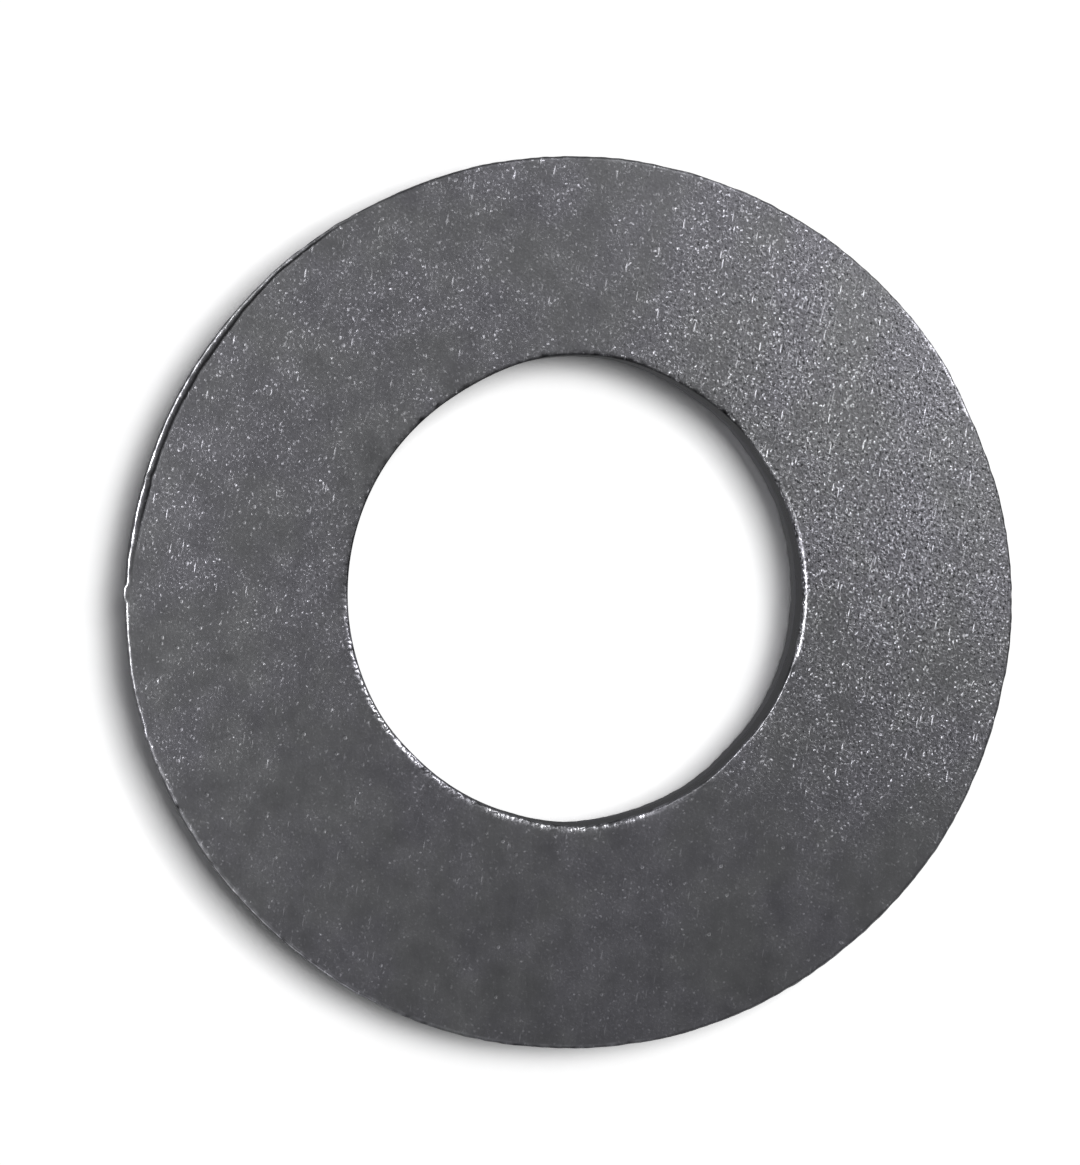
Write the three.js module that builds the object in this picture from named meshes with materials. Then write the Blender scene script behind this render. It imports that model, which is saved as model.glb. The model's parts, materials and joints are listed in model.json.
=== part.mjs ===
// Plain flat washer for an M10 bolt, stamped from 2 mm steel strip.
//
// The frame is in millimetres, +Z up. The washer lies flat, its origin is at the centre of the rim on the
// underside, and +Z runs along its axis. It is one piece of steel, so the group holds one mesh.
//
// A press cuts the rim and the hole. Each cut leaves the same four bands on the edge, from the side where the
// tool went in: a drawn-in roll, a sheared band that is smooth and true to size, a broken band that falls back,
// and an edge whose burr was tumbled round. The hole is punched downwards, so its roll is on the top face. The
// rim is the blank that was pushed through the die, so its roll is on the underside.
import * as THREE from "three";

// Driving dimensions.
const OUTER_DIAMETER = 20;
const BORE_DIAMETER = 10.5;
const THICKNESS = 2;

// How far from the rim's centre the hole was punched.
const BORE_OFFSET_X = 0.08;
const BORE_OFFSET_Y = 0.22;

// The bands that a press tool leaves on a cut edge.
const ROLL_WIDTH = 0.08; // how far the roll reaches across the face
const ROLL_HEIGHT = 0.15;
const SHEAR_HEIGHT = 0.75;
const BREAK_FALL = 0.05; // how far the broken band falls back from the sheared one
const BURR_ROUND = 0.05; // radius of the tumbled edge

// How finely the round shapes are faceted.
const TURN_SEGMENTS = 120;
const ROLL_SEGMENTS = 4;
const BURR_SEGMENTS = 2;

const STEEL = new THREE.MeshStandardMaterial({
  color: 0x5c5c60,
  roughness: 0.45,
  metalness: 1,
});

// The points of a quarter ellipse about a centre, from one angle to the other, in steps of equal angle.
function quarterArc(centre, width, height, fromAngle, toAngle, steps) {
  const curve = new THREE.EllipseCurve(
    centre.x,
    centre.y,
    width,
    height,
    fromAngle,
    toAngle,
    toAngle < fromAngle,
  );
  return curve.getPoints(steps);
}

// One cut edge, from the tool's side to the burr's side. x is how far a point lies inside the cut's true size,
// and y is how far it lies from the face on the tool's side.
function cutEdge() {
  const roll = quarterArc(
    new THREE.Vector2(ROLL_WIDTH, ROLL_HEIGHT),
    ROLL_WIDTH,
    ROLL_HEIGHT,
    1.5 * Math.PI,
    Math.PI,
    ROLL_SEGMENTS,
  );
  const shearEnd = new THREE.Vector2(0, ROLL_HEIGHT + SHEAR_HEIGHT);
  const burr = quarterArc(
    new THREE.Vector2(BREAK_FALL + BURR_ROUND, THICKNESS - BURR_ROUND),
    BURR_ROUND,
    BURR_ROUND,
    Math.PI,
    0.5 * Math.PI,
    BURR_SEGMENTS,
  );
  return [...roll, shearEnd, ...burr];
}

// The ring's closed section, anticlockwise: up the rim, then down the hole. x is the radius and y the height.
function ringSection() {
  const rim = cutEdge().map(
    (p) => new THREE.Vector2(OUTER_DIAMETER / 2 - p.x, p.y),
  );
  const bore = cutEdge().map(
    (p) => new THREE.Vector2(BORE_DIAMETER / 2 + p.x, THICKNESS - p.y),
  );
  return [...rim, ...bore, rim[0]];
}

// Moves the hole's side of a ring that lies in the XY plane off the rim's centre.
function offsetBore(geometry) {
  const middleRadius = (OUTER_DIAMETER + BORE_DIAMETER) / 4;
  const position = geometry.attributes.position;
  for (let i = 0; i < position.count; i += 1) {
    const x = position.getX(i);
    const y = position.getY(i);
    if (Math.hypot(x, y) < middleRadius) {
      position.setXY(i, x + BORE_OFFSET_X, y + BORE_OFFSET_Y);
    }
  }
}

function makeWasher() {
  const geometry = new THREE.LatheGeometry(ringSection(), TURN_SEGMENTS);
  geometry.rotateX(Math.PI / 2); // the lathe turns about Y, and the washer's axis is Z
  offsetBore(geometry);
  geometry.computeVertexNormals();
  const mesh = new THREE.Mesh(geometry, STEEL);
  mesh.name = "washer";
  return mesh;
}

const part = new THREE.Group();
part.add(makeWasher());

export default part;
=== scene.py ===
"""A plain flat steel washer, stamped from strip and lying on a pale floor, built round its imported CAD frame.

The washer is one piece of metal, so one mesh stands for the CAD node. It is modelled finely enough to show
what the press tool leaves on a cut edge: the drawn-in roll, the smooth sheared band, the torn and broken
band, and the crumbs of burr along their borders. Lengths are in metres, and directions are in degrees,
anticlockwise from +X.
"""

import json
import logging
import math
from dataclasses import dataclass, field, replace
from enum import Enum
from typing import Any, Iterable, Optional, Union

import bmesh
import bpy
from mathutils import Matrix, Vector, noise

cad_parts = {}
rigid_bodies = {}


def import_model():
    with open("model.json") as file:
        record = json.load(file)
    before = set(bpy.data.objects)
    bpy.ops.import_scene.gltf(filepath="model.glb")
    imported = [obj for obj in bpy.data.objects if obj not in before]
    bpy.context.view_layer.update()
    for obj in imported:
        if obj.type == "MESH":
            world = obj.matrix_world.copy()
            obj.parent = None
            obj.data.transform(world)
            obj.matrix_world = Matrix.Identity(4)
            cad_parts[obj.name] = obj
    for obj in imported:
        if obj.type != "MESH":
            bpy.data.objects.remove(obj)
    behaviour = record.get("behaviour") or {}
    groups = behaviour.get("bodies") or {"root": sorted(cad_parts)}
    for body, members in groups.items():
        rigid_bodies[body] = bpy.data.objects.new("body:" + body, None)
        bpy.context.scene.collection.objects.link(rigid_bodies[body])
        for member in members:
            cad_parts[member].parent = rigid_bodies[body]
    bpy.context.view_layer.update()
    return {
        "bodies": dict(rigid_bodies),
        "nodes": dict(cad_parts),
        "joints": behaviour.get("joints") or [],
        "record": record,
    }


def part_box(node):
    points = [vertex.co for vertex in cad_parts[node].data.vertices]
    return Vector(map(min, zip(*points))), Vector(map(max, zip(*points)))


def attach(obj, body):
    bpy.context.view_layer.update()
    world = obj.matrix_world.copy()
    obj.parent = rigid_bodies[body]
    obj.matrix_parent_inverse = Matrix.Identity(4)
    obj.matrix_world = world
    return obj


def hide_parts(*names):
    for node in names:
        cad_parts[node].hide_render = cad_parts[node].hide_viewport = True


LOG = logging.getLogger("washer")

MM = 0.001

WASHER_NODE = "washer"
WASHER_BODY = "root"
BOLT_HOLE = "bolt_hole"
STEEL_PIECE = "washer_steel"
FLOOR_PIECE = "floor_card"

# Where a Mix node keeps its colour sockets, after those of its other data types.
MIX_FIRST_COLOUR = 6
MIX_SECOND_COLOUR = 7
MIX_COLOUR_RESULT = 2


class Band(Enum):
    """The marks on the cut edges that the finish follows, and the highlights and shade painted along them,
    each a number that the mesh stores by vertex.
    """

    SHEARED = "sheared"
    BROKEN = "broken"
    # Painted highlights and painted shade along the cut edges, in the colour; the same number also makes the
    # steel smoother or rougher there.
    PAINTED_LIGHT_AND_RUB = "painted_light_and_rub"


def smooth_step(value: float, low: float, high: float) -> float:
    """Rises smoothly from 0 to 1 as a value goes from low to high."""
    share = min(max((value - low) / (high - low), 0.0), 1.0)
    return share * share * (3 - 2 * share)


def angle_between(first: float, second: float) -> float:
    """Gives the unsigned angle between two directions, from 0 to 180 degrees."""
    turn = abs(first - second) % 360
    return min(turn, 360 - turn)


@dataclass(frozen=True)
class Sector:
    """A stretch of an edge where something is stronger, fading out on both sides."""

    middle: float
    half_width: float
    fade: float
    amount: float = 1.0

    def at(self, direction: float) -> float:
        """Gives the strength in a direction: the amount inside the stretch, 0 well outside it."""
        away = angle_between(direction, self.middle)
        return self.amount * (1 - smooth_step(away, self.half_width, self.half_width + self.fade))


@dataclass(frozen=True)
class Fade:
    """A smooth fall with distance, from whole to gone."""

    whole: float
    gone: float

    def at(self, distance: float) -> float:
        """Gives the strength at a distance: 1 up to the whole one, 0 past the gone one."""
        return 1 - smooth_step(distance, self.whole, self.gone)


@dataclass(frozen=True)
class Unevenness:
    """Repeatable noise: how strong it is, how far apart its lumps are, and which of many fields it reads."""

    height: float
    size: float
    seed: float

    def at(self, point: Vector) -> float:
        """Reads the noise at a point, from about -height to height."""
        shift = Vector((self.seed, -self.seed, 2 * self.seed))
        return self.height * noise.noise(point / self.size + shift)


def total_at(parts: Iterable[Union[Sector, Unevenness]], where: Union[float, Vector]) -> float:
    """Adds up several stretches in one direction, or several layers of noise at one point."""
    return sum(part.at(where) for part in parts)


@dataclass(frozen=True)
class CadSizes:
    """The washer's own sizes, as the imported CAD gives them."""

    rim_centre: Vector
    rim_radius: float
    bore_centre: Vector
    bore_radius: float
    thickness: float

    @property
    def middle_radius(self) -> float:
        """The radius halfway between the rim and the bore."""
        return (self.rim_radius + self.bore_radius) / 2

    @classmethod
    def from_frame(cls, frame: dict[str, Any]) -> "CadSizes":
        """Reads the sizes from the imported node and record.


        Returns:
            The sizes in metres.
        """
        low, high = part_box(WASHER_NODE)
        openings = frame["record"]["physics"]["openings"]
        hole = next(opening for opening in openings if opening["name"] == BOLT_HOLE)
        near, far = (Vector(corner) for corner in hole["box_m"])
        bore_centre = ((near + far) / 2).to_2d()
        solid = frame["nodes"][WASHER_NODE].data
        radii = [(vertex.co.to_2d() - bore_centre).length for vertex in solid.vertices]
        return cls(
            rim_centre=((low + high) / 2).to_2d(),
            rim_radius=(high.x - low.x) / 2,
            bore_centre=bore_centre,
            bore_radius=min(radii),
            thickness=high.z - low.z,
        )


@dataclass(frozen=True)
class CutEdge:
    """The section of an edge that a press tool has cut, from the tool's face to the other one.

    A point of it is (how far inside the true size it lies, how far from the tool's face it lies).
    """

    thickness: float
    roll_width: float = 0.05 * MM
    roll_height: float = 0.15 * MM
    shear_height: float = 0.75 * MM
    break_fall: float = 0.05 * MM
    burr_round: float = 0.05 * MM
    roll_points: int = 8
    shear_points: int = 3
    break_points: int = 7
    burr_points: int = 5

    @staticmethod
    def arc(centre: Vector, reach: Vector, start: float, points: int) -> list[Vector]:
        """Makes a quarter of an ellipse, turning clockwise from a start angle.

        Args:
            centre: The ellipse's centre.
            reach: Its half width and half height.
            start: Where the arc starts, in quarter turns.
            points: How many points to give.

        Returns:
            The points, both ends included.
        """
        angles = [(start - step / (points - 1)) * math.pi / 2 for step in range(points)]
        return [
            centre + Vector((reach.x * math.cos(angle), reach.y * math.sin(angle)))
            for angle in angles
        ]

    @property
    def shear_end(self) -> float:
        """How far from the tool's face the smooth sheared band ends."""
        return self.roll_height + self.shear_height

    def section(self) -> list[Vector]:
        """Gives the edge's points, from the tool's face to the burr's.

        Returns:
            The points in order.
        """
        roll_reach = Vector((self.roll_width, self.roll_height))
        roll = self.arc(roll_reach.copy(), roll_reach, 3, self.roll_points)
        shear = [
            Vector((0, self.roll_height + self.shear_height * step / self.shear_points))
            for step in range(1, self.shear_points + 1)
        ]
        burr_start = Vector((self.break_fall, self.thickness - self.burr_round))
        broken = [
            shear[-1].lerp(burr_start, step / self.break_points)
            for step in range(1, self.break_points)
        ]
        burr_reach = Vector((self.burr_round, self.burr_round))
        burr_centre = burr_start + Vector((self.burr_round, 0))
        burr = self.arc(burr_centre, burr_reach, 2, self.burr_points)
        return roll + shear + broken + burr


@dataclass(frozen=True)
class FoldedBurr:
    """A stretch of burr at the rim that tumbling folded back onto the top face, with a crack behind it."""

    stretch: Sector = Sector(147, 19, 12)
    widest: Sector = Sector(156, 10, 20)
    narrow_inset: float = 0.130 * MM
    wide_inset: float = 0.205 * MM
    narrow_crack: float = 0.020 * MM
    wide_crack: float = 0.040 * MM
    crack_depth: float = 0.008 * MM
    shade_widening: float = 1.5
    fold_rise: float = 0.015 * MM

    def sink(self, inset: float, direction: float, wander: float) -> tuple[float, float]:
        """Tells how far the top face lies below its level, and how much painted shade the crack gets.

        Args:
            inset: How far inside the true rim the point lies.
            direction: The point's direction, in degrees.
            wander: How far the crack strays here, in metres.

        Returns:
            The depth in metres, and the painted shade from 0 to 1.
        """
        share = self.stretch.at(direction)
        if share == 0:
            return 0.0, 0.0
        wide = self.widest.at(direction)
        crack = self.narrow_inset + (self.wide_inset - self.narrow_inset) * wide + wander
        width = self.narrow_crack + (self.wide_crack - self.narrow_crack) * wide
        away = (inset - crack) / width
        groove = math.exp(-(away**2))
        shade = math.exp(-((away / self.shade_widening) ** 2))
        fold = 1 - smooth_step(inset, crack - width, crack)
        return share * (self.crack_depth * groove - self.fold_rise * fold), share * shade


@dataclass(frozen=True)
class Spot:
    """A point of the perfect ring, in the terms that the wear is worked out in."""

    place: Vector
    radius: float
    outwards: Vector
    direction: float

    @classmethod
    def at(cls, place: Vector) -> "Spot":
        """Describes a point.

        Args:
            place: The point, about the rim's centre.

        Returns:
            The spot.
        """
        radius = place.to_2d().length
        outwards = Vector((place.x, place.y, 0)) / radius
        return cls(place, radius, outwards, math.degrees(math.atan2(place.y, place.x)) % 360)


@dataclass(frozen=True)
class WornPoint:
    """Where a point of the ring ends up, and how strongly each band of the cut edge, painted highlights and
    shade among them, shows there.
    """

    place: Vector
    bands: dict[Band, float]


@dataclass(frozen=True)
class EdgeWear:
    """What the press and the tumbling do to the half of the ring along one cut edge, and the highlights and
    shade painted along it.
    """

    cad: CadSizes
    edge: CutEdge
    # This share of the burr's round still counts as the cut wall.
    wall_share: float = 0.4
    # How far the sheared band fades into the broken one.
    band_border: float = 0.08 * MM

    def on_wall(self, inset: float) -> float:
        """Tells the cut wall, 1, from the flat faces, 0."""
        return float(inset < self.edge.break_fall + self.wall_share * self.edge.burr_round)


@dataclass(frozen=True)
class RimWear(EdgeWear):
    """The rim's half: a little out of round, torn towards the top, with crumbs and a fold of burr."""

    reach: Fade = Fade(0.3 * MM, 0.6 * MM)
    burr: FoldedBurr = FoldedBurr()
    # Bulges and flats of the rim, out of round, and its finer waves.
    bulges: tuple[Sector, ...] = (
        Sector(0, 3, 10, 0.015 * MM),
        Sector(46, 12, 10, 0.030 * MM),
        Sector(24, 3, 8, -0.015 * MM),
        Sector(90, 14, 24, 0.030 * MM),
        Sector(270, 16, 24, 0.060 * MM),
        Sector(138, 24, 14, -0.035 * MM),
    )
    waves: tuple[Unevenness, ...] = (
        Unevenness(0.008 * MM, 3.0 * MM, 1.7),
        Unevenness(0.004 * MM, 0.5 * MM, 7.9),
    )
    # The roll fades into the sheared band between these heights.
    roll_low: float = 0.05 * MM
    roll_high: float = 0.2 * MM
    # The broken band tears in full this far above the sheared one, in lumps and in grains.
    torn_rise: float = 0.25 * MM
    torn_lumps: Unevenness = Unevenness(0.014 * MM, 0.9 * MM, 5.1)
    torn_grains: Unevenness = Unevenness(0.014 * MM, 0.22 * MM, 9.4)
    # The broken band's look stops short of the top face.
    under_top: Fade = Fade(0.02 * MM, 0.05 * MM)
    # Crumbs of burr that stand out of the rim, and how far down from the top they reach.
    crumbs: tuple[Sector, ...] = (
        Sector(161, 38, 8, 0.045 * MM),
        Sector(178.7, 0.5, 0.8, 0.055 * MM),
        Sector(163.5, 0.3, 0.6, 0.020 * MM),
        Sector(197.0, 0.3, 0.6, 0.020 * MM),
    )
    crumb_depth: Fade = Fade(0.05 * MM, 0.5 * MM)
    # How the crack behind the folded burr strays, and how much painted shade darkens it.
    crack_strays: tuple[Unevenness, ...] = (
        Unevenness(0.022 * MM, 0.6 * MM, 14.2),
        Unevenness(0.008 * MM, 0.15 * MM, 8.8),
    )
    crack_painted_shade: float = 0.85
    # The top face is grainy beside the burr's round, and this share of the round counts as top face.
    top_share: float = 0.5
    border_grain: Unevenness = Unevenness(0.008 * MM, 0.16 * MM, 3.3)
    border_inset: Fade = Fade(0, 0.2 * MM)
    # Where highlights are painted along the top edge, over painted shade on the rest of it, and how the
    # painted highlights sparkle; the same band also sets how smooth the steel is there.
    painted_light_and_rub: tuple[Sector, ...] = (
        Sector(0, 180, 1, -0.15),
        Sector(33.5, 7, 3, 2.2),
        Sector(85, 16, 6, 1.0),
        Sector(142, 16, 8, 1.0),
        Sector(183, 20, 6, 1.8),
        Sector(240, 36, 8, 1.3),
    )
    gleam_depth: Fade = Fade(0.04 * MM, 0.12 * MM)
    gleam_inset: Fade = Fade(0.10 * MM, 0.15 * MM)
    even_gleam: float = 0.65
    sparkle: Unevenness = Unevenness(1.5, 0.18 * MM, 12.6)

    def moved(self, spot: Spot) -> WornPoint:
        """Moves a point of the rim's half of the ring.

        Args:
            spot: The point on the perfect ring.

        Returns:
            Where it ends up, and its bands.
        """
        place, height, direction = spot.place, spot.place.z, spot.direction
        shear_end = self.edge.shear_end
        depth = self.cad.thickness - height
        inset = self.cad.rim_radius - spot.radius
        near = self.reach.at(inset)
        on_wall = self.on_wall(inset)
        broken = smooth_step(height, shear_end, shear_end + self.band_border) * on_wall
        torn = smooth_step(height, shear_end, shear_end + self.torn_rise) * near

        move = (total_at(self.bulges, direction) + total_at(self.waves, place)) * near
        move += self.torn_lumps.at(place) * torn
        move += self.torn_grains.at(place) * torn * on_wall
        move += total_at(self.crumbs, direction) * self.crumb_depth.at(depth) * near
        result = place + spot.outwards * move
        crack = 0.0
        if depth < self.top_share * self.edge.burr_round:
            stray = total_at(self.crack_strays, place)
            sink, crack = self.burr.sink(inset, direction, stray)
            result.z += self.border_grain.at(place) * self.border_inset.at(inset) - sink

        # The top edge gets painted highlights, and the crack behind the folded burr gets painted shade,
        # through this band.
        at_edge = self.gleam_depth.at(depth) * self.gleam_inset.at(inset)
        shine = total_at(self.painted_light_and_rub, direction) * (self.even_gleam + self.sparkle.at(place))
        bands = {
            Band.SHEARED: (1 - broken) * on_wall * smooth_step(height, self.roll_low, self.roll_high),
            Band.BROKEN: broken * (1 - self.under_top.at(depth)),
            Band.PAINTED_LIGHT_AND_RUB: shine * at_edge * (1 - crack) - self.crack_painted_shade * crack,
        }
        return WornPoint(result, bands)


@dataclass(frozen=True)
class BoreWear(EdgeWear):
    """The hole's half: tight and a little oval, its border crumbled and rubbed, its wall torn low down."""

    reach: Fade = Fade(0.15 * MM, 0.6 * MM)
    # The hole is narrower along one direction and wider across it.
    tight: float = 0.070 * MM
    oval: float = 0.045 * MM
    oval_direction: float = 170.0
    # Bulges and flats of the hole, towards the steel and away from it, and its finer waves.
    bulges: tuple[Sector, ...] = (
        Sector(90, 6, 26, 0.095 * MM),
        Sector(240, 12, 18, -0.045 * MM),
        Sector(300, 12, 20, -0.050 * MM),
        Sector(331, 12, 16, -0.040 * MM),
        Sector(16, 18, 14, -0.045 * MM),
    )
    waves: Unevenness = Unevenness(0.010 * MM, 2.2 * MM, 11.9)
    # Where the border is rubbed down to a bevel, and how wide that bevel is.
    bevels: tuple[Sector, ...] = (
        Sector(6, 19, 7, 0.055 * MM),
        Sector(34, 8, 10, 0.025 * MM),
        Sector(236, 46, 14, 0.020 * MM),
    )
    bevel_inset: Fade = Fade(0.01 * MM, 0.115 * MM)
    # Where the border is crumbled, and how: in and out, up and down.
    crumbled: tuple[Sector, ...] = (
        Sector(232, 42, 22, 0.85),
        Sector(232, 180, 1, 0.25),
    )
    border_depth: Fade = Fade(0.01 * MM, 0.10 * MM)
    border_inset: Fade = Fade(0.09 * MM, 0.17 * MM)
    border_waves: Unevenness = Unevenness(0.010 * MM, 0.45 * MM, 31.3)
    crumbs: Unevenness = Unevenness(0.016 * MM, 0.085 * MM, 21.3)
    even_pits: float = 0.0075 * MM
    pits: Unevenness = Unevenness(0.030 * MM, 0.075 * MM, 27.7)
    # The broken band is ragged in full this far below the sheared one.
    ragged_fall: float = 0.2 * MM
    ragged: Unevenness = Unevenness(0.016 * MM, 0.24 * MM, 6.4)
    # The broken band's look stops short of the underside.
    under_low: float = 0.02 * MM
    under_high: float = 0.05 * MM
    # How far from the hole the steel is carried in full to the hole's own centre.
    carried: float = 0.4 * MM
    # Where highlights are painted along the rolled edge, over painted shade on the rest of it, and how the
    # painted highlights sparkle; the same band also sets how smooth the steel is there.
    painted_light_and_rub: tuple[Sector, ...] = (
        Sector(0, 180, 1, -0.45),
        Sector(13, 24, 10, 1.9),
        Sector(312, 20, 8, 1.4),
        Sector(240, 48, 14, 2.0),
        Sector(205, 18, 12, 1.4),
    )
    gleam_inset: Fade = Fade(0.08 * MM, 0.12 * MM)
    roll_share: float = 0.5
    even_gleam: float = 0.8
    sparkle: Unevenness = Unevenness(1.5, 0.15 * MM, 18.1)

    def moved(self, spot: Spot) -> WornPoint:
        """Moves a point of the bore's half of the ring, and carries it to the bore's own centre.

        Args:
            spot: The point on the perfect ring.

        Returns:
            Where it ends up, and its bands.
        """
        place, height, direction = spot.place, spot.place.z, spot.direction
        top, roll = self.cad.thickness, self.edge.roll_height
        inset = spot.radius - self.cad.bore_radius
        shear_end = top - self.edge.shear_end
        near = self.reach.at(inset)
        on_wall = self.on_wall(inset)
        broken = (1 - smooth_step(height, shear_end - self.band_border, shear_end)) * on_wall
        on_roll = smooth_step(height, top - roll, top)
        border = self.border_depth.at(top - height) * self.border_inset.at(inset)
        rough = border * total_at(self.crumbled, direction)
        ragged = (1 - smooth_step(height, shear_end - self.ragged_fall, shear_end)) * on_wall

        oval = self.oval * math.cos(2 * math.radians(direction - self.oval_direction))
        move = (total_at(self.bulges, direction) - self.tight - oval + self.waves.at(place)) * near
        move += self.crumbs.at(place) * rough + self.border_waves.at(place) * border
        move += self.ragged.at(place) * ragged
        to_bore = Vector((*(self.cad.bore_centre - self.cad.rim_centre), 0))
        carry = Fade(self.cad.bore_radius + self.carried, self.cad.middle_radius).at(spot.radius)
        result = place + spot.outwards * move + to_bore * carry
        pit = max((self.even_pits + self.pits.at(place)) * rough, 0.0)
        bevel = total_at(self.bevels, direction) * on_roll * self.bevel_inset.at(inset)
        result.z -= pit + bevel

        # The rolled edge gets painted highlights, over painted shade on the rest of it, through this band.
        at_edge = smooth_step(height, top - roll, top - self.roll_share * roll) * self.gleam_inset.at(inset)
        shine = total_at(self.painted_light_and_rub, direction) * (self.even_gleam + self.sparkle.at(place))
        bands = {
            Band.SHEARED: (1 - broken) * on_wall * (1 - on_roll),
            Band.BROKEN: broken * smooth_step(height, self.under_low, self.under_high),
            Band.PAINTED_LIGHT_AND_RUB: shine * at_edge,
        }
        return WornPoint(result, bands)


@dataclass
class WasherRing:
    """The washer's steel: a ring turned from its section, then worn as a tumbled stamping is."""

    cad: CadSizes
    doublings: int = 4
    steps_per_wedge: int = 80
    seam: float = 0.001 * MM
    # Rings of points: evenly spaced on the faces, and closer together towards the cut edges.
    under_rings: int = 3
    middle_rings: int = 5
    first_gap: float = 0.02 * MM
    rim_rings: int = 16
    rim_growth: float = 1.08
    bore_rings: int = 8
    bore_growth: float = 1.35
    # The top face isn't quite flat.
    top_depth: float = 0.01 * MM
    top_waves: Unevenness = Unevenness(0.002 * MM, 2.6 * MM, 41.0)

    def __post_init__(self) -> None:
        """Works out the cut edge and the wear of the ring's two halves."""
        self.edge = CutEdge(self.cad.thickness)
        self.rim_wear = RimWear(self.cad, self.edge)
        self.bore_wear = BoreWear(self.cad, self.edge)

    def section(self) -> list[Vector]:
        """Gives the ring's closed section, anticlockwise from the underside of the rim.

        Returns:
            Points of (radius, height).
        """
        edge = self.edge.section()
        top = self.cad.thickness
        rim = [Vector((self.cad.rim_radius - point.x, point.y)) for point in edge]
        bore = [Vector((self.cad.bore_radius + point.x, top - point.y)) for point in edge]
        rim_gaps = self.widening(self.rim_growth, self.rim_rings)
        bore_gaps = self.widening(self.bore_growth, self.bore_rings)
        near_rim = [rim[-1] - Vector((gap, 0)) for gap in rim_gaps]
        near_bore = [bore[0] + Vector((gap, 0)) for gap in reversed(bore_gaps)]
        face = self.between(near_rim[-1], near_bore[0], self.middle_rings)
        under = self.between(bore[-1], rim[0], self.under_rings)
        return rim + near_rim + face + near_bore + bore + under

    def widening(self, growth: float, count: int) -> list[float]:
        """Gives distances from a border, each gap growth times as wide as the one before."""
        return [self.first_gap * (growth**step - 1) / (growth - 1) for step in range(1, count + 1)]

    @staticmethod
    def between(start: Vector, end: Vector, rings: int) -> list[Vector]:
        """Gives evenly spaced points between two others, without the two ends."""
        return [start.lerp(end, step / (rings + 1)) for step in range(1, rings + 1)]

    def turned(self) -> bmesh.types.BMesh:
        """Turns the section round the axis: a wedge is spun, then doubled until it closes.

        Returns:
            The ring, with its seams closed and its faces outwards.
        """
        bm = bmesh.new()
        points = self.section()
        verts = [bm.verts.new((point.x, 0, point.y)) for point in points]
        edges = [bm.edges.new((verts[i - 1], verts[i])) for i in range(len(verts))]
        wedge = math.tau / 2**self.doublings
        bmesh.ops.spin(
            bm,
            geom=verts + edges,
            cent=(0, 0, 0),
            axis=(0, 0, 1),
            angle=wedge,
            steps=self.steps_per_wedge,
        )
        for doubling in range(self.doublings):
            whole = bm.verts[:] + bm.edges[:] + bm.faces[:]
            copy = bmesh.ops.duplicate(bm, geom=whole)["geom"]
            copied = [item for item in copy if isinstance(item, bmesh.types.BMVert)]
            turn = Matrix.Rotation(wedge * 2**doubling, 3, "Z")
            bmesh.ops.rotate(bm, cent=(0, 0, 0), matrix=turn, verts=copied)
            bmesh.ops.remove_doubles(bm, verts=bm.verts, dist=self.seam)
        bmesh.ops.recalc_face_normals(bm, faces=bm.faces)
        return bm

    def wear(self, bm: bmesh.types.BMesh) -> None:
        """Moves every point of the perfect ring to where the press and the tumbling leave it.

        Args:
            bm: The ring. Its points get a layer for each band.
        """
        layers = {band: bm.verts.layers.float.new(band.value) for band in Band}
        centre = Vector((*self.cad.rim_centre, 0))
        for vert in bm.verts:
            spot = Spot.at(vert.co.copy())
            half = self.rim_wear if spot.radius > self.cad.middle_radius else self.bore_wear
            worn = half.moved(spot)
            if spot.place.z > self.cad.thickness - self.top_depth:
                worn.place.z += self.top_waves.at(spot.place)
            vert.co = worn.place + centre
            for band, layer in layers.items():
                vert[layer] = worn.bands[band]

    def build(self, finish: "TumbledSteel") -> bpy.types.Object:
        """Makes the washer and hands it to the frame.

        Args:
            finish: What the steel looks like.

        Returns:
            The washer's object.
        """
        bm = self.turned()
        self.wear(bm)
        for face in bm.faces:
            face.smooth = True
        mesh = bpy.data.meshes.new(STEEL_PIECE)
        bm.to_mesh(mesh)
        bm.free()
        mesh.materials.append(finish.material())
        piece = bpy.data.objects.new(STEEL_PIECE, mesh)
        bpy.context.scene.collection.objects.link(piece)
        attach(piece, WASHER_BODY)
        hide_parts(WASHER_NODE)
        LOG.info("%s: %d faces", piece.name, len(mesh.polygons))
        return piece


SocketInput = Union["Signal", float, int, tuple]
Triple = tuple[float, float, float]
Colour = tuple[float, float, float, float]


@dataclass(frozen=True)
class Signal:
    """One output socket of a shader, with arithmetic that adds Math nodes."""

    sheet: "ShaderSheet"
    socket: bpy.types.NodeSocket

    def math(self, operation: str, *others: SocketInput) -> "Signal":
        """Adds a Math node that starts with this signal."""
        return self.sheet.math(operation, self, *others)

    def __add__(self, other: SocketInput) -> "Signal":
        """Adds a number or signal."""
        return self.math("ADD", other)

    def __sub__(self, other: SocketInput) -> "Signal":
        """Takes a number or signal away."""
        return self.math("SUBTRACT", other)

    def __rsub__(self, other: SocketInput) -> "Signal":
        """Takes this signal away from a number."""
        return self.sheet.math("SUBTRACT", other, self)

    def __mul__(self, other: SocketInput) -> "Signal":
        """Multiplies by a number or signal."""
        return self.math("MULTIPLY", other)

    __radd__ = __add__
    __rmul__ = __mul__

    def ramp(self, low: float, high: float) -> "Signal":
        """Rises smoothly from 0 at low to 1 at high.

        Args:
            low: Where the rise starts; above high, it is a fall.
            high: Where the rise ends.

        Returns:
            The risen signal, from 0 to 1.
        """
        settings = {"interpolation_type": "SMOOTHSTEP"}
        node = self.sheet.node("ShaderNodeMapRange", settings, Value=self)
        node.inputs["From Min"].default_value = low
        node.inputs["From Max"].default_value = high
        return Signal(self.sheet, node.outputs["Result"])


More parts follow.
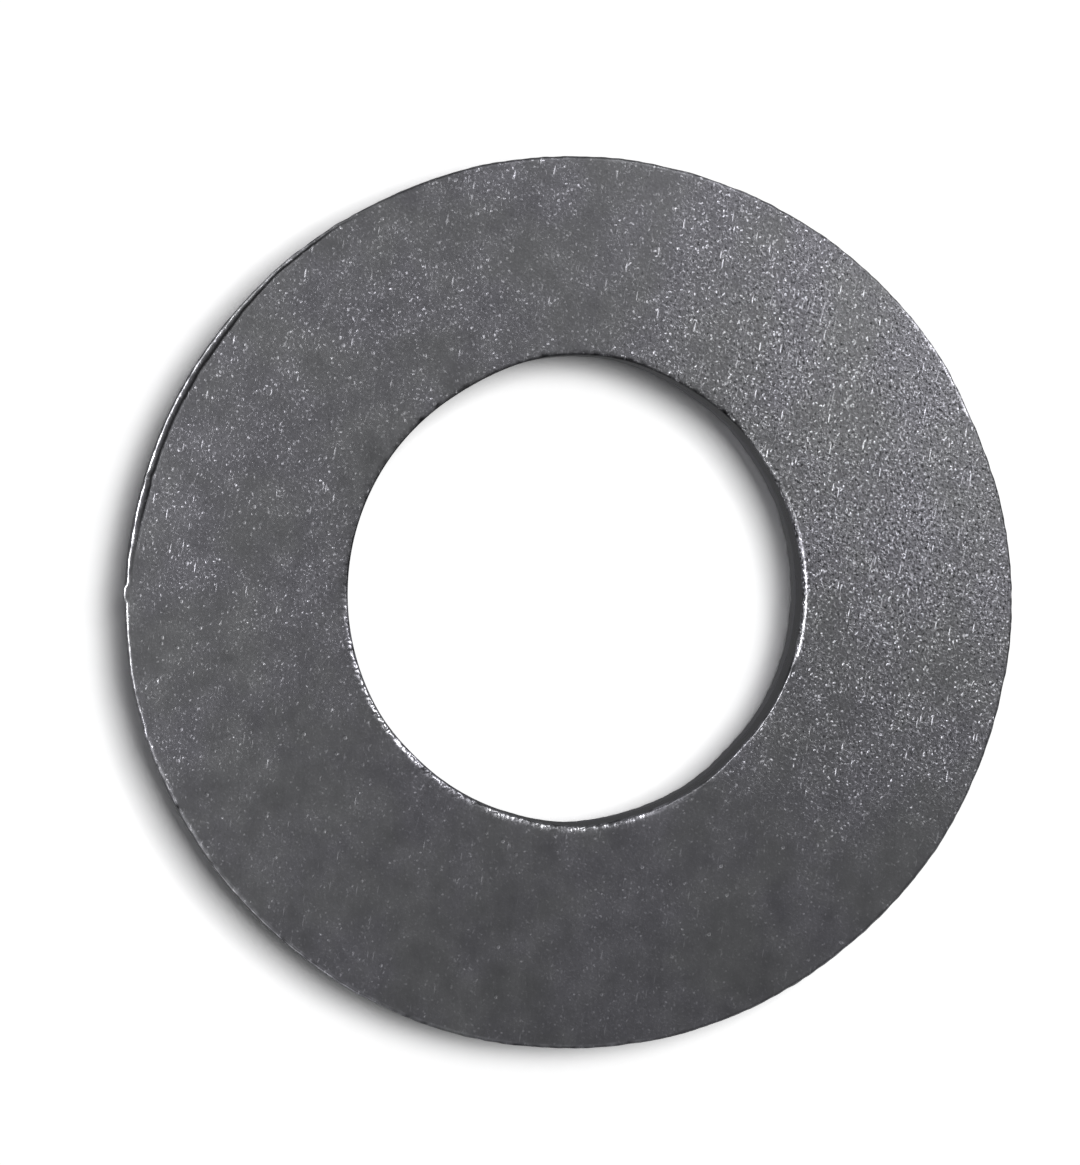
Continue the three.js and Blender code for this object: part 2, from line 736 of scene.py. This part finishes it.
class ShaderSheet:
    """A material's node tree, written as Python expressions."""

    def __init__(self, name: str) -> None:
        """Starts an empty material.

        Args:
            name: The material's name.
        """
        self.material = bpy.data.materials.new(name)
        self.material.use_nodes = True
        self.tree = self.material.node_tree
        self.tree.nodes.clear()

    def node(
        self, kind: str, settings: Optional[dict[str, Any]] = None, **inputs: SocketInput
    ) -> bpy.types.Node:
        """Adds one node.

        Args:
            kind: The node's type.
            settings: Its own properties, set before its sockets are filled.
            **inputs: What its sockets get, by socket name with _ for a space.

        Returns:
            The node.
        """
        node = self.tree.nodes.new(kind)
        for key, value in (settings or {}).items():
            setattr(node, key, value)
        for key, value in inputs.items():
            self.fill(node.inputs[key.replace("_", " ")], value)
        return node

    def fill(self, target: bpy.types.NodeSocket, value: SocketInput) -> None:
        """Links a signal to a socket, or sets the socket's own number.

        Args:
            target: The socket to fill.
            value: The signal or number.
        """
        if isinstance(value, Signal):
            self.tree.links.new(value.socket, target)
        else:
            target.default_value = value

    def math(self, operation: str, *values: SocketInput) -> Signal:
        """Adds a Math node.

        Args:
            operation: What it works out.
            *values: Its inputs in order.

        Returns:
            Its result.
        """
        node = self.node("ShaderNodeMath", {"operation": operation})
        for target, value in zip(node.inputs, values):
            self.fill(target, value)
        return Signal(self, node.outputs[0])

    def place(self) -> Signal:
        """Reads where a point lies on its object, in metres."""
        return Signal(self, self.node("ShaderNodeTexCoord").outputs["Object"])

    def finished(self, height: Signal, strength: float, **inputs: SocketInput) -> bpy.types.Material:
        """Ends the material in one shader whose surface is bumpy.

        Args:
            height: How high the surface stands, in millimetres.
            strength: How strongly the bumps show.
            **inputs: What the shader's other sockets get, by socket name with _ for a space.

        Returns:
            The material.
        """
        bump = self.node("ShaderNodeBump", Strength=strength, Distance=MM, Height=height)
        normal = Signal(self, bump.outputs[0])
        shader = self.node("ShaderNodeBsdfPrincipled", Normal=normal, **inputs)
        output = self.node("ShaderNodeOutputMaterial")
        self.tree.links.new(shader.outputs[0], output.inputs[0])
        return self.material

    def vector_math(self, operation: str, place: Signal, fixed: Triple, output: str) -> Signal:
        """Adds a Vector Math node to a place and a fixed vector.

        Args:
            operation: What it works out.
            place: The place.
            fixed: The fixed vector.
            output: Which of the node's outputs to give.

        Returns:
            The output.
        """
        node = self.node("ShaderNodeVectorMath", {"operation": operation})
        self.fill(node.inputs[0], place)
        self.fill(node.inputs[1], fixed)
        return Signal(self, node.outputs[output])

    def stretched(self, place: Signal, per_mm: Triple, turn: float = 0) -> Signal:
        """Scales a place so that a pattern has a given number of lumps per millimetre.

        Args:
            place: Object coordinates in metres.
            per_mm: Lumps per millimetre along X, Y and Z.
            turn: How far the pattern is turned about Z, in degrees.

        Returns:
            The scaled place.
        """
        turned = self.node(
            "ShaderNodeMapping",
            {"vector_type": "TEXTURE"},
            Vector=place,
            Rotation=(0, 0, math.radians(turn)),
        )
        scale = tuple(count / MM for count in per_mm)
        return self.vector_math("MULTIPLY", Signal(self, turned.outputs[0]), scale, "Vector")

    def along(self, place: Signal, direction: float) -> Signal:
        """Measures how far a place lies from the origin in a direction, in degrees from +X."""
        turn = math.radians(direction)
        return self.vector_math("DOT_PRODUCT", place, (math.cos(turn), math.sin(turn), 0), "Value")

    def gap(self, place: Signal, point: Triple) -> Signal:
        """Measures how far a place lies from a point, in metres."""
        return self.vector_math("DISTANCE", place, point, "Value")

    def noise(self, place: Signal, detail: float, roughness: float) -> Signal:
        """Adds a noise texture of lumps one unit apart.

        Args:
            place: The scaled place.
            detail: How many finer layers it has.
            roughness: How strong they are.

        Returns:
            The noise, from 0 to 1.
        """
        node = self.node("ShaderNodeTexNoise", Vector=place, Scale=1.0)
        node.inputs["Detail"].default_value = detail
        node.inputs["Roughness"].default_value = roughness
        return Signal(self, node.outputs[0])

    def cells(self, place: Signal) -> tuple[Signal, Signal]:
        """Adds a Voronoi texture of cells one unit apart.

        Args:
            place: The scaled place.

        Returns:
            The distance from the cell's middle, and a random number for each cell.
        """
        node = self.node("ShaderNodeTexVoronoi", {"feature": "F1"}, Vector=place, Scale=1.0)
        parts = self.node("ShaderNodeSeparateColor", Color=Signal(self, node.outputs["Color"]))
        return Signal(self, node.outputs["Distance"]), Signal(self, parts.outputs[0])

    def band(self, band: Band) -> Signal:
        """Reads how strongly a band of the cut edge shows."""
        node = self.node("ShaderNodeAttribute", {"attribute_name": band.value})
        return Signal(self, node.outputs["Fac"])

    def blend(self, share: SocketInput, first: SocketInput, second: SocketInput) -> Signal:
        """Blends two colours.

        Args:
            share: 0 for the first, 1 for the second.
            first: A colour.
            second: Another colour.

        Returns:
            The blended colour.
        """
        node = self.node("ShaderNodeMix", {"data_type": "RGBA"})
        self.fill(node.inputs["Factor"], share)
        self.fill(node.inputs[MIX_FIRST_COLOUR], first)
        self.fill(node.inputs[MIX_SECOND_COLOUR], second)
        return Signal(self, node.outputs[MIX_COLOUR_RESULT])


def grey(value: float) -> Colour:
    """Gives a plain grey as red, green, blue and alpha."""
    return (value, value, value, 1.0)


@dataclass(frozen=True)
class Grain:
    """A noise pattern: its lumps per millimetre, how it is turned, and how fine and rough it is."""

    per_mm: Triple
    turn: float = 0
    detail: float = 2
    roughness: float = 0.6

    def read(self, sheet: ShaderSheet, place: Signal) -> Signal:
        """Adds the pattern to a material, at a place; it runs from 0 to 1."""
        return sheet.noise(sheet.stretched(place, self.per_mm, self.turn), self.detail, self.roughness)


@dataclass(frozen=True)
class Rise:
    """The two levels of a signal that count as nothing and as whole."""

    nothing: float
    whole: float

    def of(self, signal: Signal) -> Signal:
        """Gives how far the signal has risen from one level to the other, from 0 to 1."""
        return signal.ramp(self.nothing, self.whole)


@dataclass(frozen=True)
class Strokes:
    """One family of short nicks that tumbling leaves, all lying about the same way."""

    per_mm: Triple
    turn: float
    share: float
    strength: float
    # How far across its cell a nick reaches, and how gradually the cells that have one are picked.
    width: Rise = Rise(0.28, 0.12)
    spread: float = 0.12

    def marks(self, sheet: ShaderSheet, place: Signal) -> Signal:
        """Draws the nicks.

        Args:
            sheet: The material.
            place: Object coordinates.

        Returns:
            Their strength, 0 between them.
        """
        distance, chance = sheet.cells(sheet.stretched(place, self.per_mm, self.turn))
        kept = chance.ramp(1 - self.share, 1 - self.share + self.spread)
        return self.width.of(distance) * kept * self.strength


@dataclass(frozen=True)
class TumbledSteel:
    """Bare rolled steel after tumbling: dull grey and peened, with streaks along the rolling direction."""

    lightness: float = 0.252
    roughness: float = 0.38
    plain_hue: Colour = (0.962, 0.966, 1.0, 1.0)
    violet_hue: Colour = (0.926, 0.916, 1.0, 1.0)
    violet: Rise = Rise(0.35, 0.65)

    # The face is peened most round one point, and a little towards another side, patch by patch; this sideways
    # strength also brightens the marks there as a painted sheen on the side that the light falls on.
    painted_sheen_and_peening_point: Triple = (8.3 * MM, 3.4 * MM, 2.0 * MM)
    most_reach: float = 10.5 * MM
    most_core: float = 0.15
    painted_sheen_and_peening_direction: float = 112.0
    also_reach: float = 4.5 * MM
    also_share: float = 0.12
    least_peened: float = 0.15
    painted_sheen_and_side_peening: float = 1.50
    least_patch: float = 0.50
    patch_peening: float = 1.0
    peened_patch: Rise = Rise(0.36, 0.62)
    patch_share: float = 0.55
    blotch_share: float = 0.45

    # The patterns of the face, from the widest to the finest.
    patches: Grain = Grain((0.45, 0.40, 0.45), detail=3)
    blotches: Grain = Grain((1.7, 1.4, 1.7))
    dashes: Grain = Grain((20.0, 11.0, 20.0), turn=9)
    flecks: Grain = Grain((13.0, 18.0, 13.0), turn=-31)
    streaks: Grain = Grain((11, 0.6, 11), turn=3, detail=3)
    scratches: Grain = Grain((20, 1.1, 20), turn=-14, detail=1, roughness=0.4)
    scratched: Rise = Rise(0.69, 0.76)
    nicks: tuple[Strokes, ...] = (
        Strokes((12.0, 5.6, 12.0), 8, 0.22, 1.3),
        Strokes((11.5, 5.8, 11.5), -30, 0.24, 1.4),
        Strokes((11.0, 6.2, 11.0), 48, 0.24, 1.4),
        Strokes((8.4, 9.2, 8.4), 15, 0.20, 2.0),
        Strokes((15.0, 2.0, 15.0), -9, 0.14, 1.4),
    )
    # Curls follow the middle level of their noise, where the flecks are strong enough.
    curls: Grain = Grain((8.5, 5.6, 8.5), turn=20)
    curl_line: Rise = Rise(0.032, 0.0)
    curled: Rise = Rise(0.47, 0.58)
    # Dents are round, in a share of the cells.
    dents_per_mm: Triple = (3.4, 2.6, 3.4)
    dents_turn: float = 12
    dent_round: Rise = Rise(0.17, 0.06)
    dented: Rise = Rise(0.50, 0.80)

    # Which dashes and flecks are bright or dark, and how strongly every mark shows in the tone; the bright
    # marks are partly painted glints.
    bright_dash: Rise = Rise(0.56, 0.78)
    bright_fleck: Rise = Rise(0.58, 0.80)
    dark_dash: Rise = Rise(0.45, 0.28)
    dark_fleck: Rise = Rise(0.43, 0.26)
    bright_dash_tone: float = 0.5
    bright_fleck_tone: float = 0.5
    curl_tone: float = 0.6
    dark_fleck_tone: float = 0.8
    bright_tone: float = 2.35
    dark_tone: float = 0.72
    streak_tone: float = 0.16
    dent_tone: float = 0.35
    peened_dent_tone: float = 0.8
    scratch_tone: float = 0.6
    blotch_tone: float = 0.16
    patch_tone: float = 0.24
    darkest: float = 0.25
    broken_tone: float = 0.35
    sheared_tone: float = 0.05

    # How high every mark stands, in millimetres.
    dash_height: float = 0.0032
    fleck_height: float = 0.0030
    nick_height: float = 0.0040
    curl_height: float = 0.0025
    streak_height: float = 0.0004
    dent_depth: float = 0.004
    scratch_depth: float = 0.001
    # The lines drawn down the sheared band, and the torn metal of the broken one.
    drawn: Grain = Grain((14, 14, 0.8), roughness=0.5)
    drawn_height: float = 0.002
    torn: Grain = Grain((10, 10, 6), detail=4, roughness=0.7)
    torn_height: float = 0.020

    # How much rougher the blotches and the broken band are, and how much smoother the steel is where edge
    # highlights are painted.
    blotch_roughness: float = 0.12
    broken_roughness: float = 0.12
    sheared_smoothness: float = 0.10
    gleam_smoothness: float = 0.06

    def peening_and_painted_sheen(self, sheet: ShaderSheet, place: Signal, mottle: Signal) -> Signal:
        """Tells how strongly the face is peened, side by side and patch by patch; the side by side part also
        paints a sheen towards the lit side.

        Args:
            sheet: The material.
            place: Object coordinates.
            mottle: Patches about a millimetre wide.

        Returns:
            The strength, up to about 2.5.
        """
        near_most = sheet.gap(place, self.painted_sheen_and_peening_point)
        most = near_most.ramp(self.most_reach, self.most_core * self.most_reach)
        also = sheet.along(place, self.painted_sheen_and_peening_direction).ramp(-self.also_reach, self.also_reach)
        side = most.math("MAXIMUM", also * self.also_share)
        patch = self.least_patch + self.patch_peening * self.peened_patch.of(mottle)
        return (self.least_peened + self.painted_sheen_and_side_peening * side) * patch

    def material(self) -> bpy.types.Material:
        """Builds the shader.

        Returns:
            The material.
        """
        sheet = ShaderSheet("tumbled_steel")
        place = sheet.place()
        sheared = sheet.band(Band.SHEARED)
        broken = sheet.band(Band.BROKEN)
        painted_light_and_rub = sheet.band(Band.PAINTED_LIGHT_AND_RUB)
        face = 1 - (sheared + broken).math("MINIMUM", 1.0)

        patches = self.patches.read(sheet, place)
        blotches = self.blotches.read(sheet, place)
        mottle = patches * self.patch_share + blotches * self.blotch_share
        peened = self.peening_and_painted_sheen(sheet, place, mottle)

        dash = self.dashes.read(sheet, place)
        fleck = self.flecks.read(sheet, place)
        streak = self.streaks.read(sheet, place)
        scratch = self.scratched.of(self.scratches.read(sheet, place))
        nicks = sum(family.marks(sheet, place) for family in self.nicks)
        line = (self.curls.read(sheet, place) - 0.5).math("ABSOLUTE")
        curls = self.curl_line.of(line) * self.curled.of(fleck)
        distance, chance = sheet.cells(sheet.stretched(place, self.dents_per_mm, self.dents_turn))
        dent = self.dent_round.of(distance) * self.dented.of(chance)

        bright = self.bright_dash_tone * self.bright_dash.of(dash)
        bright = bright + self.bright_fleck_tone * self.bright_fleck.of(fleck)
        bright = bright + nicks + self.curl_tone * curls
        dark = self.dark_dash.of(dash) + self.dark_fleck_tone * self.dark_fleck.of(fleck)
        # Bright marks lift the lightness as painted glints, and the sideways part of the peened strength makes
        # them a painted sheen towards one side.
        speckle = (bright * self.bright_tone - dark * self.dark_tone) * peened
        speckle = speckle + (streak - 0.5) * self.streak_tone
        speckle = speckle + dent * (self.dent_tone + self.peened_dent_tone * peened)
        speckle = speckle + scratch * self.scratch_tone * peened
        speckle = speckle + (blotches - 0.5) * self.blotch_tone + (patches - 0.5) * self.patch_tone
        on_face = self.lightness * (1 + speckle * face).math("MAXIMUM", self.darkest)
        on_broken = on_face * (1 + self.broken_tone * broken)
        # Painted highlights and shade along the edges brighten or darken the colour here.
        lightness = on_broken * (1 - self.sheared_tone * sheared) * (1 + painted_light_and_rub)
        hue = sheet.blend(self.violet.of(patches), self.plain_hue, self.violet_hue)
        tone = sheet.blend(lightness, grey(0.0), hue)

        marks = dash * self.dash_height + fleck * self.fleck_height
        marks = marks + nicks * self.nick_height + curls * self.curl_height
        height = marks * peened + streak * self.streak_height
        height = height - dent * self.dent_depth - scratch * self.scratch_depth * peened
        height = height * face + self.drawn.read(sheet, place) * self.drawn_height * sheared
        height = height + self.torn.read(sheet, place) * self.torn_height * broken
        rough = self.roughness + self.blotch_roughness * (blotches - 0.5)
        rough = rough + self.broken_roughness * broken
        rough = rough - self.sheared_smoothness * sheared - self.gleam_smoothness * painted_light_and_rub
        return sheet.finished(height, 1.0, Base_Color=tone, Metallic=1.0, Roughness=rough)


@dataclass(frozen=True)
class PaleCard:
    """Plain pale card for the washer to lie on."""

    shade: float = 0.86
    pale_shade: float = 0.88
    roughness: float = 0.9
    tooth: Grain = Grain((3, 3, 3), roughness=0.5)
    tooth_height: float = 0.01
    tooth_strength: float = 0.3

    def material(self) -> bpy.types.Material:
        """Builds the shader.

        Returns:
            The material.
        """
        sheet = ShaderSheet("pale_card")
        tooth = self.tooth.read(sheet, sheet.place())
        height = tooth * self.tooth_height
        tone = sheet.blend(tooth, grey(self.shade), grey(self.pale_shade))
        return sheet.finished(height, self.tooth_strength, Base_Color=tone, Roughness=self.roughness)


@dataclass(frozen=True)
class Softbox:
    """A square soft light that faces the washer, and lights one set of objects."""

    name: str
    direction: float
    tilt: float
    distance: float
    width: float
    power: float

    def build(self, target: Vector, lit: bpy.types.Collection) -> None:
        """Hangs the light.

        Args:
            target: The point that it faces.
            lit: The objects that it lights.
        """
        tilt = math.radians(self.tilt)
        turn = math.radians(self.direction)
        level = math.sin(tilt)
        away = Vector((level * math.cos(turn), level * math.sin(turn), math.cos(tilt)))
        data = bpy.data.lights.new(self.name, "AREA")
        data.shape = "SQUARE"
        data.size = self.width
        data.energy = self.power
        light = bpy.data.objects.new(self.name, data)
        light.location = target + away * self.distance
        light.rotation_euler = away.to_track_quat("Z", "Y").to_euler()
        light.light_linking.receiver_collection = lit
        light.visible_camera = False
        bpy.context.scene.collection.objects.link(light)


@dataclass
class Studio:
    """The floor and the soft lights."""

    cad: CadSizes
    floor_width: float = 1.2
    floor_squares: int = 4
    room_colour: Colour = (0.97, 0.98, 1.0, 1.0)
    room_strength: float = 0.11
    floor_lights: tuple[Softbox, ...] = (
        Softbox("floor_softbox", direction=33, tilt=15.5, distance=0.45, width=0.176, power=2.40),
    )
    side_lights: int = 4
    side_light: Softbox = Softbox(
        "side_softbox", direction=45, tilt=79, distance=0.25, width=0.20, power=0.075
    )
    washer_lights: tuple[Softbox, ...] = (
        Softbox("key_softbox", direction=30, tilt=36, distance=0.06, width=0.028, power=0.0069),
        Softbox("left_softbox", direction=166, tilt=37, distance=0.12, width=0.056, power=0.087),
    )

    def build_floor(self) -> bpy.types.Object:
        """Lays the floor under the washer.

        Returns:
            The floor's object.
        """
        bm = bmesh.new()
        bmesh.ops.create_grid(
            bm, x_segments=self.floor_squares, y_segments=self.floor_squares, size=self.floor_width / 2
        )
        mesh = bpy.data.meshes.new(FLOOR_PIECE)
        bm.to_mesh(mesh)
        bm.free()
        mesh.materials.append(PaleCard().material())
        floor = bpy.data.objects.new(FLOOR_PIECE, mesh)
        bpy.context.scene.collection.objects.link(floor)
        floor.visible_glossy = False  # the cut walls reflect the dim room
        return floor

    def build_lights(self, floor: bpy.types.Object, washer: bpy.types.Object) -> None:
        """Hangs the soft lights and sets the dim room light.

        Args:
            floor: The floor's object.
            washer: The washer's object.
        """
        world = bpy.data.worlds.new("room")
        world.use_nodes = True
        background = world.node_tree.nodes["Background"]
        background.inputs["Color"].default_value = self.room_colour
        background.inputs["Strength"].default_value = self.room_strength
        bpy.context.scene.world = world
        target = Vector((*self.cad.rim_centre, self.cad.thickness))
        step = 360 / self.side_lights
        sides = tuple(
            replace(
                self.side_light,
                name=f"{self.side_light.name}_{number + 1}",
                direction=self.side_light.direction + number * step,
            )
            for number in range(self.side_lights)
        )
        for lit, lights in ((floor, self.floor_lights), (washer, self.washer_lights + sides)):
            receivers = bpy.data.collections.new("lit_" + lit.name)
            receivers.objects.link(lit)
            for softbox in lights:
                softbox.build(target, receivers)

    def build(self, washer: bpy.types.Object) -> None:
        """Makes everything round the washer."""
        self.build_lights(self.build_floor(), washer)


@dataclass
class WatchingCamera:
    """A camera above the washer and a little to its left, looking almost straight down."""

    cad: CadSizes
    height_in_diameters: float = 5.0
    aside: Vector = field(default_factory=lambda: Vector((-0.53, 0.11)))
    aim: Vector = field(default_factory=lambda: Vector((-0.038, 0.0225)))
    filled_share: float = 0.7675
    sensor: float = 36.0
    clip_near: float = 1 * MM
    clip_far: float = 10.0

    def build(self) -> bpy.types.Object:
        """Places the camera and makes it the scene's.

        Returns:
            The camera's object.
        """
        diameter = 2 * self.cad.rim_radius
        centre = Vector((*self.cad.rim_centre, self.cad.thickness))
        away = Vector((*(self.aside * diameter), self.height_in_diameters * diameter))
        aim = centre + Vector((*(self.aim * diameter), 0))
        eye = centre + away
        data = bpy.data.cameras.new("camera")
        data.sensor_width = self.sensor
        data.lens = self.sensor * self.filled_share * (eye - aim).length / diameter
        data.clip_start = self.clip_near
        data.clip_end = self.clip_far
        camera = bpy.data.objects.new("camera", data)
        back = (eye - aim).normalized()
        right = Vector((0, 1, 0)).cross(back).normalized()
        up = back.cross(right)
        turn = Matrix((right, up, back)).transposed().to_4x4()
        camera.matrix_world = Matrix.Translation(eye) @ turn
        bpy.context.scene.collection.objects.link(camera)
        bpy.context.scene.camera = camera
        return camera


def main() -> None:
    """Builds the washer, its surroundings and its camera."""
    logging.basicConfig(level=logging.INFO, format="%(name)s: %(message)s")
    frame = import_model()
    cad = CadSizes.from_frame(frame)
    washer = WasherRing(cad).build(TumbledSteel())
    Studio(cad).build(washer)
    WatchingCamera(cad).build()
    bpy.context.scene.view_settings.view_transform = "Standard"


if __name__ == "__main__":
    main()
